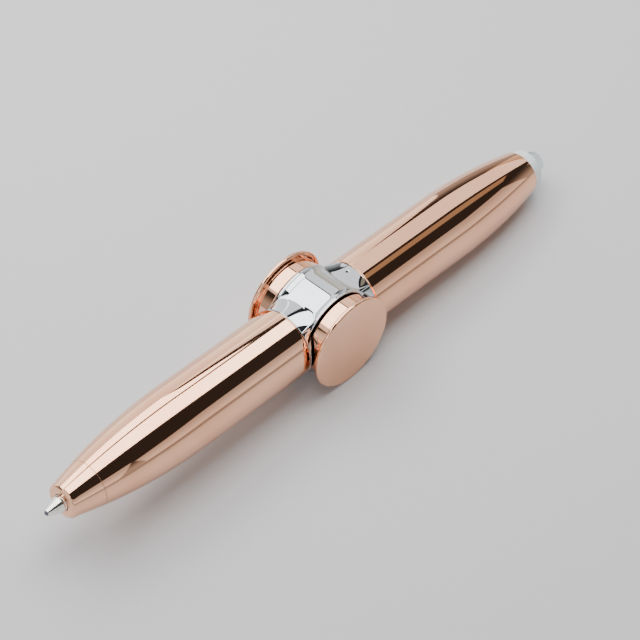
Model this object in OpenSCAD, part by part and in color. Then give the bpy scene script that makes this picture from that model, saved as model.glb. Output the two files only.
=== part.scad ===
// Spinner pen: two polished barrels screwed onto a bearing hub that is pinched between two finger caps.
// The pen axis runs along X with the writing tip towards -X, and the spin axis runs along Y.

/* [Barrels] */
// Outer radius of both barrels where they are straight
barrel_r = 6.66; // [6.4:0.02:7.0]
// Distance from the spin axis to each barrel's inner end
barrel_start = 8.65; // [8.65:0.05:9.2]
// Distance from the spin axis to the start of each taper
taper_start = 34; // [30:0.5:36]
// Wall thickness of the barrels away from the threads
barrel_wall = 1.4; // [1.2:0.05:1.5]
// Chamfer on each barrel's inner end
barrel_chamfer = 0.35; // [0.1:0.05:0.5]

/* [Nose] */
// Distance from the spin axis to the nose's front
nose_end = 61.6; // [61:0.1:62.2]
// Radius that the taper reaches at the nose's front
nose_r = 3.05; // [2.95:0.05:3.3]
// Rounding of the nose's front edge
nose_round = 1.3; // [1.0:0.05:1.3]
// Distance from the spin axis to the nose cone's seam
seam_at = 55.5; // [54:0.1:57]
// Length of the nose cone's spigot inside the barrel
nose_spigot = 4.5; // [3:0.1:6]

/* [Refill] */
// Radius of the refill tube
refill_r = 1.5; // [1.4:0.02:1.55]
// Distance from the spin axis to the point of the writing ball
tip_end = 65.2; // [64.8:0.1:66]
// Radius of the writing ball
ball_tip_r = 0.5; // [0.35:0.05:0.5]

/* [Hub] */
// Radius of the hub about the spin axis
hub_r = 8.35; // [8.2:0.05:8.35]
// Half width of the hub between its bezel rings
hub_half = 4.15; // [3.9:0.05:4.2]
// Depth of the drum's waist below its two rims
hub_waist = 0.3; // [0.1:0.05:0.4]
// Thickness of each bezel ring's rim
bezel_t = 0.5; // [0.4:0.05:0.55]
// Radius of the threaded spigots
spigot_r = 5.2; // [5.0:0.05:5.3]
// Length of the threaded spigots
spigot_len = 7; // [6:0.5:8]

/* [Finger caps] */
// Radius of the finger cap's thin disc
cap_r = 9.08; // [8.8:0.02:9.6]
// Distance from the middle plane to the cap's flat face
cap_face = 8.6; // [8.3:0.05:9]
// Thickness of the thin disc
cap_disc_t = 0.9; // [0.85:0.05:1]
// Rounding of the thin disc's edge
cap_round = 0.4; // [0.2:0.05:0.42]
// Radius of the boss behind the disc
boss_r = 7.9; // [7.4:0.05:7.9]
// Distance from the middle plane to the boss
boss_at = 5.0; // [4.8:0.05:5.2]

/* [Bearing] */
// Bore radius of the bearing
bearing_bore_r = 3.0; // [2.9:0.05:3.1]
// Outer radius of the bearing
bearing_r = 6.5; // [6.4:0.05:6.6]
// Width of the bearing
bearing_w = 5; // [4.8:0.1:5]
// Radius of the bearing balls
ball_r = 1.0; // [0.95:0.01:1.0]
// Number of bearing balls
ball_count = 8; // [7:1:9]

/* [Tail light] */
// Distance from the spin axis to the rear barrel's outer end
tail_end = 55.9; // [55.5:0.1:56.5]
// Radius that the taper reaches at the tail
tail_r = 4.4; // [4.3:0.05:4.6]
// Distance from the spin axis to the lamp's tip
lamp_end = 61.8; // [61.5:0.1:62.5]
// Radius of the lamp's body
lamp_r = 2.5; // [2.4:0.05:2.5]
// Outer radius of the frosted collar
collar_r = 3.75; // [3.6:0.05:3.8]
// Length of the frosted collar outside the barrel
collar_len = 2.4; // [2:0.1:2.6]
// Radius of a button cell
cell_r = 3.95; // [3.9:0.05:3.95]
// Height of a button cell
cell_h = 3.6; // [3.5:0.05:3.6]
// Number of button cells
cell_count = 3; // [2:1:3]

/* [Hidden] */
$fn = 96;

rose = "#d9a48f";
chrome = "#c9ccd0";
steel = "#9a9da3";
brass = "#c9a44a";
white_plastic = "#e8e6df";

run_gap = 0.05;                       // radial gap of a sliding fit
held_gap = 0.02;                      // gap around a piece that is held and doesn't slide
eps = 0.01;                           // overlap that joins two shapes of one solid
cut = 1;                              // how far a cutter runs past what it cuts
edge_break = 0.2;                     // side of the square that breaks a sharp edge

// Bore and seat radii
thread_r = 0.6;                       // radial thickness of a thread insert
insert_in = spigot_r + run_gap;
insert_out = insert_in + thread_r;
insert_len = 6;
insert_seat = insert_out + run_gap;
insert_inset = 0.3;                   // set-back of an insert from the barrel's inner end
insert_room = 0.4;                    // free length behind an insert
spigot_relief = 1.5;                  // free length behind a hub spigot
bore_r = barrel_r - barrel_wall;
spigot_bore = 3.0;
pip_r = 0.25;                         // small drilled mark on the rear collar
pip_at = 7.3;
pip_depth = 0.6;
flare_start = hub_half - 1.15;        // where the drum starts to rise to its rims
root_at = 5;                          // where a collar takes its flat-topped section
root_half = hub_half + bezel_t;
root_crown = 20;                      // radius of that section's top
slice = 0.01;
cap_room = boss_at - 0.7;             // depth cleared beside the drum for a turning cap boss

// Bearing proportions
pitch_r = (bearing_bore_r + bearing_r) / 2;
groove_r = ball_r + 0.03;
inner_land = pitch_r - 0.7;
outer_land = pitch_r + 0.75;
shield_t = 0.25;
shield_at = bearing_w / 2 - 0.4;
shield_seat = 0.15;                   // depth that a shield sits in the outer ring
land_gap = 0.1;                       // clearance beside the inner ring's land
cage_t = 0.5;
cage_half = 1.4;
bezel_bore = outer_land + 0.15;

// Caps
boss_chamfer = 0.15;
shoulder_r = inner_land - land_gap;
stud_r = 1.5;
stud_half = 6;
stud_room = 0.2;                      // free depth past the stud's end
plug_gap = 0.1;                       // distance from the middle plane to a cap's plug

// Nose and refill
nose_bore = refill_r + 2 * run_gap;
nose_spigot_r = refill_r + 1.6;
seam_gap = 0.05;
tube_wall = 0.25;
tip_plug = 3;                         // length of the tip that is pressed into the tube
ink_bore = 0.45;
ink_stop = 1.4;                       // length of solid metal behind the tip's face
holder_flange_r = spigot_bore + 1.2;
holder_flange_t = 0.8;
tip_cone_r = ball_tip_r + 0.12;
tip_cone_len = 2.7;
tip_face = tip_end - 0.3;
refill_front = 57;
refill_back = 10.5;

// Tail light
cells_start = 26.2;
cells_end = cells_start + cell_count * cell_h;
spring_start = barrel_start + spigot_len + 0.5;
spring_r = 2.4;
spring_wire = 0.25;
spring_turns = 7;
lamp_base = lamp_end - 8.7;
lamp_flange_r = lamp_r + 0.4;
lamp_flange_t = 1;
lamp_head = lamp_base + 3.6;          // top of the posts inside the lamp
lamp_bore = lamp_r + held_gap;
leg = 0.5;                            // side of a leg's square section
leg_gap = 1.27;                       // distance from the pen axis to a leg
post_t = 0.8;                         // thickness of each post's head
cup_r = 0.75;
chip = 0.3;
holder_start = cells_end + 0.8;
leg_slot = 30;
slot_lead = 5;                        // how far the leg slots start before the holder
tail_lip = 1.4;                       // wall left at the tail
collar_step = 0.35;                   // step between the collar and its spigot
plate_r = 3.4;
end_gap = 0.1;                        // gap between the spring and the first cell

// ---------- helpers ----------

// Radius of the circle whose arc starts tangent to the barrel and reaches end_r at end_x
function taper_rho(end_x, end_r, r0) =
    (pow(end_x - taper_start, 2) + pow(r0 - end_r, 2)) / (2 * (r0 - end_r));

// Turns a profile drawn as (radius, distance) about the pen axis
module about_x() {
    rotate([0, 90, 0]) rotate_extrude(convexity = 6) children();
}

// Turns a profile drawn as (radius, distance) about the spin axis
module about_y() {
    rotate([-90, 0, 0]) rotate_extrude(convexity = 6) children();
}

// A rectangle from radius r0 to r1 and from distance a to b
module band(r0, r1, a, b) {
    translate([r0, a]) square([r1 - r0, b - a]);
}

// Profile of a barrel's skin: straight to the taper, then a circular arc to end_r at end_x
module taper_profile(a, b, end_x, end_r, skin = 0) {
    r0 = barrel_r - skin;
    rho = taper_rho(end_x, end_r, barrel_r);
    intersection() {
        band(0, r0, a, b);
        union() {
            band(0, r0, a, taper_start);
            intersection() {
                translate([barrel_r - rho, taper_start]) circle(r = rho - skin, $fn = 720);
                band(0, r0, taper_start - eps, b);
            }
        }
    }
}

// Tube about the spin axis
module ring_y(r_out, r_in, a, b) {
    about_y() band(r_in, r_out, a, b);
}

// ---------- hub and bearing ----------

// Profile of the drum: a cylinder that flares to a rim on each side
module drum_profile() {
    waist_r = hub_r - hub_waist;
    polygon([
        [0, -hub_half], [hub_r, -hub_half], [waist_r, -flare_start],
        [waist_r, flare_start], [hub_r, hub_half], [0, hub_half]
    ]);
}

// Section of a collar at its root: upright sides with a slightly crowned top and bottom
module root_section() {
    intersection() {
        square([2 * root_half, 4 * barrel_r], center = true);
        translate([0, barrel_r - root_crown]) circle(r = root_crown);
        translate([0, root_crown - barrel_r]) circle(r = root_crown);
    }
}

// Collar that blends from its root section to the barrel's circle
module collar(s) {
    mirror([s < 0 ? 1 : 0, 0, 0])
        hull() {
            translate([root_at, 0, 0]) rotate([90, 0, 90]) linear_extrude(slice) root_section();
            translate([barrel_start - slice, 0, 0])
                rotate([0, 90, 0]) cylinder(r = barrel_r, h = slice, $fn = 64);
        }
}

module hub_housing() {
    color(chrome)
    difference() {
        union() {
            about_y() drum_profile();
            collar(-1);
            collar(1);
            rotate([0, 90, 0]) cylinder(r = spigot_r, h = 2 * (barrel_start + spigot_len), center = true);
        }
        // seat of the bearing and of the bezel sleeves
        rotate([90, 0, 0]) cylinder(r = bearing_r, h = 3 * hub_r, center = true);
        // room for the bezel rims and the turning cap bosses
        for (s = [-1, 1])
            translate([0, s * (hub_half + cap_room), 0])
                rotate([90, 0, 0]) cylinder(r = hub_r, h = 2 * cap_room, center = true);
        // refill socket
        translate([-barrel_start - spigot_len - 1, 0, 0])
            rotate([0, 90, 0]) cylinder(r = spigot_bore, h = spigot_len + 1);
        // drilled mark
        translate([pip_at, 0, barrel_r - pip_depth]) cylinder(r = pip_r, h = 2 * pip_depth, $fn = 24);
    }
}

module bezel(s) {
    color(chrome)
    mirror([0, s < 0 ? 1 : 0, 0])
        about_y() difference() {
            union() {
                band(bezel_bore, bearing_r, bearing_w / 2, hub_half + eps);
                band(bezel_bore, hub_r, hub_half, hub_half + bezel_t);
            }
            // broken outer edge
            translate([hub_r, hub_half + bezel_t]) rotate(45) square(edge_break, center = true);
        }
}

module near_bezel() { bezel(-1); }
module far_bezel() { bezel(1); }

module bearing_outer_ring() {
    color(steel)
    about_y() difference() {
        band(outer_land, bearing_r, -bearing_w / 2, bearing_w / 2);
        translate([pitch_r, 0]) circle(r = groove_r);
        for (s = [-1, 1]) translate([outer_land, s * (shield_at + shield_t / 2)])
            square([2 * shield_seat, shield_t], center = true);
    }
}

module bearing_inner_ring() {
    color(steel)
    about_y() difference() {
        band(bearing_bore_r, inner_land, -bearing_w / 2, bearing_w / 2);
        translate([pitch_r, 0]) circle(r = groove_r);
    }
}

module balls_at(r) {
    for (i = [0 : ball_count - 1])
        rotate([0, i * 360 / ball_count, 0]) translate([0, 0, pitch_r]) sphere(r = r, $fn = 48);
}

module bearing_balls() {
    color("silver") balls_at(ball_r);
}

module bearing_cage() {
    color(brass)
    difference() {
        ring_y(pitch_r + cage_t / 2, pitch_r - cage_t / 2, -cage_half, cage_half);
        balls_at(groove_r);
    }
}

module shield(s) {
    color(steel)
    mirror([0, s < 0 ? 1 : 0, 0])
        ring_y(outer_land + shield_seat, inner_land + land_gap, shield_at, shield_at + shield_t);
}

module near_shield() { shield(-1); }
module far_shield() { shield(1); }

// ---------- finger caps ----------

// Profile of the thin disc, with a rounded edge
module disc_profile(back) {
    band(0, cap_r - cap_round, back, cap_face);
    band(0, cap_r, back + cap_round, cap_face - cap_round);
    for (y = [back + cap_round, cap_face - cap_round])
        translate([cap_r - cap_round, y]) circle(r = cap_round);
}

module finger_cap(s) {
    disc_back = cap_face - cap_disc_t;
    color(rose)
    mirror([0, s < 0 ? 1 : 0, 0])
        about_y() difference() {
            union() {
                disc_profile(disc_back);
                band(0, boss_r, boss_at, disc_back + eps);
                band(0, shoulder_r, bearing_w / 2, boss_at + eps);
                band(0, bearing_bore_r, plug_gap, bearing_w / 2 + eps);
            }
            // broken edge of the boss
            translate([boss_r, boss_at]) rotate(45) square(boss_chamfer * sqrt(2), center = true);
            // threaded socket
            band(0, stud_r, 0, stud_half + stud_room);
        }
}

module near_cap() { finger_cap(-1); }
module far_cap() { finger_cap(1); }

module cap_stud() {
    color(steel)
    rotate([90, 0, 0]) cylinder(r = stud_r, h = 2 * stud_half, center = true);
}

// ---------- front half ----------

module barrel_bore(end_x, end_r, stop) {
    union() {
        taper_profile(barrel_start + spigot_len, stop, end_x, end_r, barrel_wall);
        band(0, spigot_r + 3 * run_gap, barrel_start - cut, barrel_start + spigot_len + spigot_relief);
        band(0, insert_seat, barrel_start - cut, barrel_start + insert_len + insert_room);
    }
}

module barrel_skin(end_x, end_r, stop) {
    difference() {
        taper_profile(barrel_start, stop, end_x, end_r);
        translate([barrel_r, barrel_start])
            rotate(45) square(barrel_chamfer * sqrt(2), center = true);
    }
}

module front_barrel() {
    color(rose)
    mirror([1, 0, 0])
        about_x() difference() {
            barrel_skin(nose_end, nose_r, seam_at);
            barrel_bore(nose_end, nose_r, seam_at - nose_spigot - cut / 2);
            band(0, nose_spigot_r, seam_at - nose_spigot - cut, seam_at + cut);
        }
}

module thread_insert(s) {
    color(brass)
    mirror([s < 0 ? 1 : 0, 0, 0])
        about_x() translate([0, barrel_start + insert_inset])
            band(insert_in, insert_out, 0, insert_len);
}

module front_thread_insert() { thread_insert(-1); }
module rear_thread_insert() { thread_insert(1); }

module nose_cone() {
    corner_r = nose_r + held_gap;
    color(rose)
    mirror([1, 0, 0])
        about_x() difference() {
            union() {
                difference() {
                    taper_profile(seam_at + seam_gap, nose_end, nose_end, nose_r);
                    // rounded front edge
                    difference() {
                        band(corner_r - nose_round, corner_r + cut, nose_end - nose_round, nose_end + cut);
                        translate([corner_r - nose_round, nose_end - nose_round]) circle(r = nose_round);
                    }
                }
                band(0, nose_spigot_r, seam_at - nose_spigot, seam_at + cut);
            }
            band(0, nose_bore, 0, nose_end + cut);
        }
}

module refill_holder() {
    flange_at = barrel_start + spigot_len;
    color(white_plastic)
    mirror([1, 0, 0])
        about_x() difference() {
            union() {
                band(0, spigot_bore, barrel_start + insert_inset, flange_at);
                band(0, holder_flange_r, flange_at, flange_at + holder_flange_t);
            }
            band(0, refill_r, refill_back, flange_at + barrel_start);
        }
}

module refill_tube() {
    color("#b9bcc2")
    mirror([1, 0, 0])
        about_x() difference() {
            band(0, refill_r, refill_back, refill_front);
            band(0, refill_r - tube_wall, refill_back + cut, refill_front + cut);
        }
}

module refill_tip() {
    color("#c8c6be")
    mirror([1, 0, 0])
        about_x() difference() {
            union() {
                band(0, refill_r - tube_wall, refill_front - tip_plug, refill_front);
                polygon([
                    [0, refill_front], [refill_r, refill_front], [refill_r, tip_face - tip_cone_len],
                    [tip_cone_r, tip_face], [0, tip_face]
                ]);
            }
            band(0, ink_bore, refill_front - tip_plug - cut, tip_face - ink_stop);
            translate([0, tip_end - ball_tip_r]) circle(r = ball_tip_r + held_gap);
        }
}

module writing_ball() {
    color("#3a3d44")
    translate([ball_tip_r - tip_end, 0, 0]) sphere(r = ball_tip_r, $fn = 48);
}

// ---------- rear half ----------

module rear_barrel() {
    edge = 0.45;
    color(rose)
    about_x() difference() {
        barrel_skin(tail_end, tail_r, tail_end);
        barrel_bore(tail_end, tail_r, tail_end - tail_lip);
        band(0, collar_r - collar_step, tail_end - 2 * cut, tail_end + cut);
        // rounded outer edge
        difference() {
            band(tail_r - edge, tail_r + cut, tail_end - edge, tail_end + cut);
            translate([tail_r - edge, tail_end - edge]) circle(r = edge);
        }
    }
}

module contact_plate() {
    color(brass)
    about_x() band(0, plate_r, barrel_start + spigot_len, spring_start);
}

// Presses the cells forward and carries their current to the plate
module contact_spring() {
    pitch = (cells_start - end_gap - spring_start - 2 * spring_wire) / spring_turns;
    color(brass)
    translate([spring_start + spring_wire, 0, 0])
        rotate([0, 90, 0]) coil(spring_r, spring_wire, pitch, spring_turns, steps = 20, sides = 8);
}

// Helix of round wire: rings of sides points swept along the winding
module coil(r, wire, pitch, turns, steps, sides) {
    n = turns * steps;
    ring = [for (i = [0 : n]) let (a = i * 360 / steps)
        for (j = [0 : sides - 1]) let (b = j * 360 / sides, q = r + wire * cos(b))
            [q * cos(a), q * sin(a), pitch * i / steps + wire * sin(b)]];
    walls = [for (i = [0 : n - 1]) for (j = [0 : sides - 1])
        let (k = (j + 1) % sides, a = i * sides, b = a + sides)
            [a + k, b + k, b + j, a + j]];
    first = [for (j = [sides - 1 : -1 : 0]) j];
    last = [for (j = [0 : sides - 1]) n * sides + j];
    polyhedron(points = ring, faces = concat(walls, [first], [last]), convexity = 10);
}

module battery_cells() {
    lip = 0.25;
    can_at = 2 * lip;                 // height where the can starts, above the gasket
    gasket_top = can_at + 0.1;
    color("#b4b6b8")
    for (i = [0 : cell_count - 1])
        translate([cells_start + i * cell_h, 0, 0])
            about_x() union() {
                band(0, cell_r, can_at, cell_h - held_gap);
                band(0, cell_r - 4 * lip, 0, gasket_top);
                band(0, cell_r - lip, lip, gasket_top);
            }
}

module battery_sleeve() {
    lead = 0.8;                       // how far the sleeve starts before the cells
    tail = 0.2;
    color(white_plastic)
    about_x() band(cell_r + held_gap, bore_r - 2 * run_gap, cells_start - lead, cells_end + tail);
}

module led_holder() {
    leg_room = leg + 2 * held_gap;
    lamp_seat = 0.4;                  // depth that the lamp's flange sits in the holder
    color(white_plastic)
    difference() {
        about_x() difference() {
            taper_profile(holder_start, lamp_base + lamp_seat, tail_end, tail_r, barrel_wall + run_gap);
            band(0, lamp_flange_r + run_gap, lamp_base, lamp_end);
        }
        for (s = [-1, 1])
            translate([holder_start - slot_lead + leg_slot / 2, 0, s * leg_gap])
                cube([leg_slot, leg_room, leg_room], center = true);
    }
}

module led_collar() {
    color("#dfe3e4")
    about_x() difference() {
        union() {
            band(0, collar_r, tail_end, tail_end + collar_len);
            band(0, collar_r - collar_step, lamp_base + lamp_flange_t + run_gap, tail_end + eps);
        }
        band(0, lamp_bore, lamp_base, lamp_end);
        translate([collar_r, tail_end + collar_len]) rotate(45) square(2 * edge_break, center = true);
    }
}

module led_lens() {
    color("#eef2f4", 0.5)
    difference() {
        about_x() union() {
            band(0, lamp_flange_r, lamp_base, lamp_base + lamp_flange_t);
            band(0, lamp_r, lamp_base + lamp_flange_t - eps, lamp_end - lamp_r);
            intersection() {
                translate([0, lamp_end - lamp_r]) circle(r = lamp_r);
                band(0, lamp_r, lamp_end - lamp_r - eps, lamp_end);
            }
        }
        led_metal(1);
        led_metal(-1);
        chip_block();
    }
}

// One leg of the lamp with its head: s = 1 is the anode's post, s = -1 the cathode's cup
module led_metal(s) {
    post_at = 0.55;                   // distance from the pen axis to the anode's post
    pad_t = 0.4;                      // thickness of the pad that touches the last cell
    pad_at = cells_end + held_gap;
    leg_back = s > 0 ? cells_end + pad_t : cells_end + 2.5;
    union() {
        translate([leg_back, -leg / 2, s * leg_gap - leg / 2]) cube([lamp_head - leg_back, leg, leg]);
        if (s > 0) {
            translate([lamp_head - post_t, -leg / 2, post_at]) cube([post_t, leg, leg_gap - post_at]);
            translate([pad_at, -leg / 2, -0.6]) cube([pad_t, leg, leg_gap + 0.85]);
        } else {
            translate([lamp_head - post_t, 0, -cup_r]) rotate([0, 90, 0]) cylinder(r = cup_r, h = post_t);
        }
    }
}

module chip_block() {
    translate([lamp_head, -chip / 2, -3 * chip]) cube([chip / 2, chip, chip]);
}

module led_anode() { color(steel) led_metal(1); }
module led_cathode() { color(steel) led_metal(-1); }
module led_chip() { color("#f2d24a") chip_block(); }

hub_housing();
near_bezel();
far_bezel();
bearing_outer_ring();
bearing_inner_ring();
bearing_balls();
bearing_cage();
near_shield();
far_shield();
near_cap();
far_cap();
cap_stud();
front_barrel();
front_thread_insert();
nose_cone();
refill_holder();
refill_tube();
refill_tip();
writing_ball();
rear_barrel();
rear_thread_insert();
contact_plate();
contact_spring();
battery_cells();
battery_sleeve();
led_holder();
led_collar();
led_lens();
led_anode();
led_cathode();
led_chip();
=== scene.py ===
"""Looks of a spinner pen: polished surfaces, finishes and studio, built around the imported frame.

Lengths inside the sub-assemblies are in millimetres and become metres when a mesh is made.
The pen axis runs along X with the writing tip towards -X, and the spin axis runs along Y.
"""

import logging
import math
from collections.abc import Sequence
from dataclasses import dataclass, field
from enum import Enum

import bpy
import numpy as np
from mathutils import Matrix, Vector


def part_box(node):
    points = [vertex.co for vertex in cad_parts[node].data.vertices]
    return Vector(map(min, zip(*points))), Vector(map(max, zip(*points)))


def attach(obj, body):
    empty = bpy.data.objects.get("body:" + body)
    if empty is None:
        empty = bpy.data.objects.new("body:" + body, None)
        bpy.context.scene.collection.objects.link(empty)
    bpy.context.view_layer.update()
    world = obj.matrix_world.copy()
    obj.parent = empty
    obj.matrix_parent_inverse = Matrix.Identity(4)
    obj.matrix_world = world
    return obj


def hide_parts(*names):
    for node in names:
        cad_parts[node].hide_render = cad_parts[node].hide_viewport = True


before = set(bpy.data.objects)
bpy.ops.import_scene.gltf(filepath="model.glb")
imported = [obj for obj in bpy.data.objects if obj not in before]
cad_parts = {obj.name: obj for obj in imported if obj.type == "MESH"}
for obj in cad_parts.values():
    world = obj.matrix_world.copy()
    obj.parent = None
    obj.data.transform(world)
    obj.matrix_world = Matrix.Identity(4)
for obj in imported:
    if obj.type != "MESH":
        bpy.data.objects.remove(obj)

log = logging.getLogger("spinner_pen")

MM = 0.001
TURN = 2 * math.pi

# A colour, a place, or an outline's corner: radius, distance and rounding.
Triple = tuple[float, float, float]


# ---------------- shader graphs


class Sock:
    """A shader output used in Python arithmetic: each operator adds one Math node."""

    def __init__(self, graph: "NodeTree", output: bpy.types.NodeSocket) -> None:
        """Keeps the graph and the output socket that this value stands for."""
        self.graph = graph
        self.output = output

    def _math(self, operation: str, first: object, second: object = None) -> "Sock":
        """Adds a Math node for one operation and returns its result."""
        values = {0: first} if second is None else {0: first, 1: second}
        return self.graph.node("ShaderNodeMath", {"operation": operation}, values)

    def __add__(self, other: object) -> "Sock":
        """Sum of two values."""
        return self._math("ADD", self, other)

    def __mul__(self, other: object) -> "Sock":
        """Product of two values."""
        return self._math("MULTIPLY", self, other)

    __radd__ = __add__
    __rmul__ = __mul__

    def sine(self) -> "Sock":
        """Sine of the value in radians."""
        return self._math("SINE", self)

    def step(self, low: float, high: float) -> "Sock":
        """Smooth step: 0 below low, 1 above high."""
        sockets = {"Value": self, "From Min": low, "From Max": high}
        return self.graph.node("ShaderNodeMapRange", {"interpolation_type": "SMOOTHSTEP"}, sockets)


class NodeTree:
    """A node tree with one method that adds any node."""

    def __init__(self, tree: bpy.types.NodeTree) -> None:
        """Keeps the tree that the nodes go into."""
        self.tree = tree

    def put(self, socket: bpy.types.NodeSocket, value: object) -> None:
        """Links a Sock to a socket, or sets the socket's own value."""
        if isinstance(value, Sock):
            self.tree.links.new(value.output, socket)
        else:
            socket.default_value = value

    def node(
        self,
        kind: str,
        settings: dict[str, object] | None = None,
        sockets: dict[object, object] | None = None,
        output: object = 0,
    ) -> Sock:
        """Adds a node.

        Args:
            kind: the node's type.
            settings: attributes, which are set first.
            sockets: values or links of its inputs, by name or number.
            output: name or number of the output to return.

        Returns:
            The chosen output.
        """
        made = self.tree.nodes.new(kind)
        for key, value in (settings or {}).items():
            setattr(made, key, value)
        for key, value in (sockets or {}).items():
            self.put(made.inputs[key], value)
        return Sock(self, made.outputs[output])


class Graph(NodeTree):
    """The node tree of one material, with a Principled shader at its end."""

    def __init__(self, name: str) -> None:
        """Makes an empty material with its output node and Principled shader.

        Args:
            name: the material's name.
        """
        self.material = bpy.data.materials.new(name)
        self.material.use_nodes = True
        super().__init__(self.material.node_tree)
        self.tree.nodes.clear()
        self.output = self.tree.nodes.new("ShaderNodeOutputMaterial")
        self.shader = self.tree.nodes.new("ShaderNodeBsdfPrincipled")
        self.tree.links.new(self.shader.outputs[0], self.output.inputs["Surface"])

    def place(self) -> Sock:
        """Object coordinates, in metres."""
        return self.node("ShaderNodeTexCoord", output="Object")

    def stretched(self, scale: Sequence[float]) -> Sock:
        """Object coordinates multiplied by a scale for each axis."""
        return self.node("ShaderNodeMapping", None, {"Vector": self.place(), "Scale": tuple(scale)})

    def noise(self, vector: Sock, scale: float, detail: float = 2.0, rough: float = 0.5) -> Sock:
        """Smooth noise from 0 to 1 with the given number of cells in a metre."""
        sockets = {"Vector": vector, "Scale": scale, "Detail": detail, "Roughness": rough}
        return self.node("ShaderNodeTexNoise", {"normalize": True}, sockets)

    def axis_part(self, axis: int) -> Sock:
        """One coordinate of the object place, in metres."""
        return self.node("ShaderNodeSeparateXYZ", None, {0: self.place()}, axis)

    def mix(self, factor: object, first: object, second: object) -> Sock:
        """Colour between two colours."""
        sockets = {0: factor, 6: _rgba(first), 7: _rgba(second)}
        return self.node("ShaderNodeMix", {"data_type": "RGBA"}, sockets, 2)

    def bump(self, height: Sock, distance: float) -> Sock:
        """Normal bent by a height from 0 to 1 that stands for a distance in metres."""
        return self.node("ShaderNodeBump", None, {"Height": height, "Distance": distance})

    def finish(self, **sockets: object) -> bpy.types.Material:
        """Sets the Principled shader's inputs and returns the material.

        Args:
            sockets: inputs by name, with underscores for spaces.
        """
        for key, value in sockets.items():
            self.put(self.shader.inputs[key.replace("_", " ")], value)
        return self.material


def _rgba(colour: object) -> object:
    """A colour of three numbers with full alpha, or the link as it is."""
    return colour if isinstance(colour, Sock) else (*colour, 1.0)


# ---------------- finishes


@dataclass(frozen=True)
class PolishedPlate:
    """Bright plating over a buffed surface: faint waves, buffing lines, smudges, a tint drift and, where a
    drilled mark is given, painted shade inside it.
    """

    name: str
    colour: Triple
    deep: Triple
    rough: float = 0.03
    smudge: float = 0.05
    wave_height: float = 1.2e-5
    line_height: float = 4e-7
    buffed_along: Triple = (60.0, 2600.0, 2600.0)
    # The drilled mark's place, radius, squash and edge: its inside gets painted shade, not its own colour.
    mark: Triple | None = None
    mark_r: float = 0.00026
    mark_squash: float = 0.25
    mark_edge: float = 0.1
    # Painted shade: the near black that stands for the shade inside the drilled hole.
    mark_shade_colour: Triple = (0.01, 0.01, 0.012)

    def _painted_mark_shade(self, g: Graph, colour: Sock) -> Sock:
        """Paints shade into the drilled mark as near black: an upright ellipsoid whose height is its
        radius over the squash.

        Args:
            g: the material's graph.
            colour: the colour round the mark.

        Returns:
            The colour with the painted shade of the mark in it.
        """
        x, y, z = self.mark
        sockets = {0: g.stretched((1.0, 1.0, self.mark_squash)), 1: (x, y, z * self.mark_squash)}
        away = g.node("ShaderNodeVectorMath", {"operation": "DISTANCE"}, sockets, "Value")
        inside, outside = ((1 + s * self.mark_edge) * self.mark_r for s in (-1, 1))
        return g.mix(away.step(inside, outside), self.mark_shade_colour, colour)

    def build(self) -> bpy.types.Material:
        """Makes the material."""
        g = Graph(self.name)
        tint = g.noise(g.place(), scale=70.0, detail=2.0).step(low=0.35, high=0.7)
        film = g.noise(g.stretched((1.0, 1.6, 1.6)), scale=260.0, detail=4.0, rough=0.62)
        smear = film.step(low=0.5, high=0.78)
        haze = g.noise(g.place(), scale=45.0, detail=3.0).step(low=0.45, high=0.75)
        lines = g.noise(g.stretched(self.buffed_along), scale=1.0, detail=3.0, rough=0.7)
        waves = g.noise(g.place(), scale=60.0, detail=1.0)
        height = g.bump(waves, self.wave_height)
        bent = g.node(
            "ShaderNodeBump", None, {"Height": lines, "Distance": self.line_height, "Normal": height}
        )
        colour = g.mix(tint, self.colour, self.deep)
        return g.finish(
            # Painted shade in the drilled mark, where a mark is given.
            Base_Color=self._painted_mark_shade(g, colour) if self.mark else colour,
            Metallic=1.0,
            Roughness=smear * haze * self.smudge + lines * 0.02 + self.rough,
            Normal=bent,
        )


@dataclass(frozen=True)
class TurnedMetal:
    """Satin metal with fine rings left by turning, dulled in patches."""

    name: str
    colour: Triple
    dull: Triple
    rough: float = 0.22
    axis: int = 0
    rings: float = 9000.0
    ring_height: float = 1.5e-6

    def build(self) -> bpy.types.Material:
        """Makes the material."""
        g = Graph(self.name)
        along = g.axis_part(self.axis)
        wander = g.noise(g.place(), scale=900.0, detail=2.0)
        rings = (along * self.rings + wander * 2.5).sine() * 0.5 + 0.5
        fine = g.noise(g.place(), scale=5200.0, detail=3.0, rough=0.6)
        patches = g.noise(g.place(), scale=320.0, detail=3.0).step(low=0.42, high=0.72)
        return g.finish(
            Base_Color=g.mix(patches * 0.7 + fine * 0.2, self.colour, self.dull),
            Metallic=1.0,
            Roughness=patches * 0.12 + fine * 0.06 + self.rough,
            Normal=g.bump(rings * 0.7 + fine * 0.3, self.ring_height),
        )


@dataclass(frozen=True)
class MouldedPlastic:
    """Moulded plastic with a fine spark-eroded grain and faint flow marks."""

    name: str
    colour: Triple
    shade: Triple
    rough: float = 0.42
    grain_height: float = 6e-6

    def build(self) -> bpy.types.Material:
        """Makes the material."""
        g = Graph(self.name)
        grain = g.noise(g.place(), scale=4200.0, detail=3.0, rough=0.6)
        flow = g.noise(g.stretched((1.0, 4.0, 4.0)), scale=120.0, detail=2.0)
        return g.finish(
            Base_Color=g.mix(flow.step(low=0.3, high=0.75), self.colour, self.shade),
            Roughness=grain * 0.18 + self.rough,
            Normal=g.bump(grain, self.grain_height),
        )


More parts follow.
